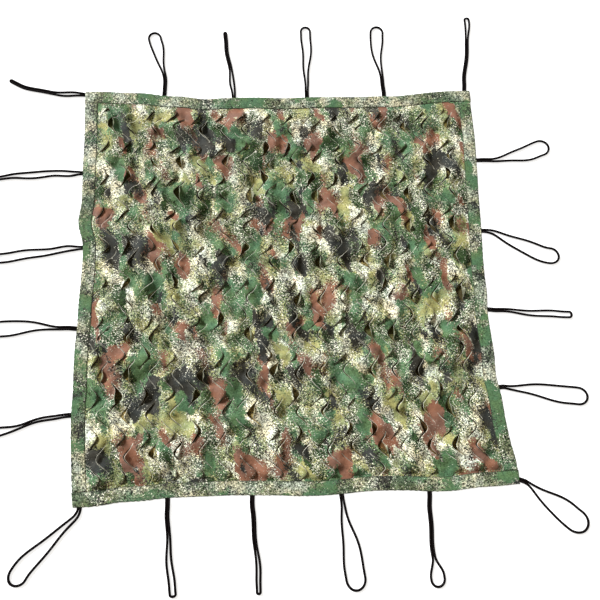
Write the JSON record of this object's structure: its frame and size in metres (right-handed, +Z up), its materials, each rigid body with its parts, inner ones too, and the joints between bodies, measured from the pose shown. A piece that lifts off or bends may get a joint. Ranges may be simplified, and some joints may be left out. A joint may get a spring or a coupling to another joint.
{
  "type": "camouflage net",
  "caption": "Square leaf-cut camouflage net laid flat: printed cut cloth on a plain backing, with folded binding strips and black cord tie loops along every edge.",
  "frame": {"origin": "centre of the square's underside, cord loops not counted", "axes": "+Z up out of the cut cloth, +X to the right and +Y away from the viewer, along the edges"},
  "size_m": [2.1115, 2.1461, 0.0289],
  "materials": {
    "backing": "dull olive-brown woven polyester",
    "field": "printed woodland camouflage on woven polyester, matt",
    "binding": "printed polyester strip in a finer, greyer camouflage, stitched",
    "cord": "black braided polyester cord"
  },
  "bodies": {
    "root": {"backing": "backing", "field": "field", "binding_near": "binding", "binding_right": "binding", "binding_far": "binding", "binding_left": "binding", "cord_near_1": "cord", "cord_near_2": "cord", "cord_near_3": "cord", "cord_near_4": "cord", "cord_near_5": "cord", "cord_right_1": "cord", "cord_right_2": "cord", "cord_right_3": "cord", "cord_right_4": "cord", "cord_right_5": "cord", "cord_far_1": "cord", "cord_far_2": "cord", "cord_far_3": "cord", "cord_far_4": "cord", "cord_far_5": "cord", "cord_left_1": "cord", "cord_left_2": "cord", "cord_left_3": "cord", "cord_left_4": "cord", "cord_left_5": "cord"}
  },
  "joints": []
}
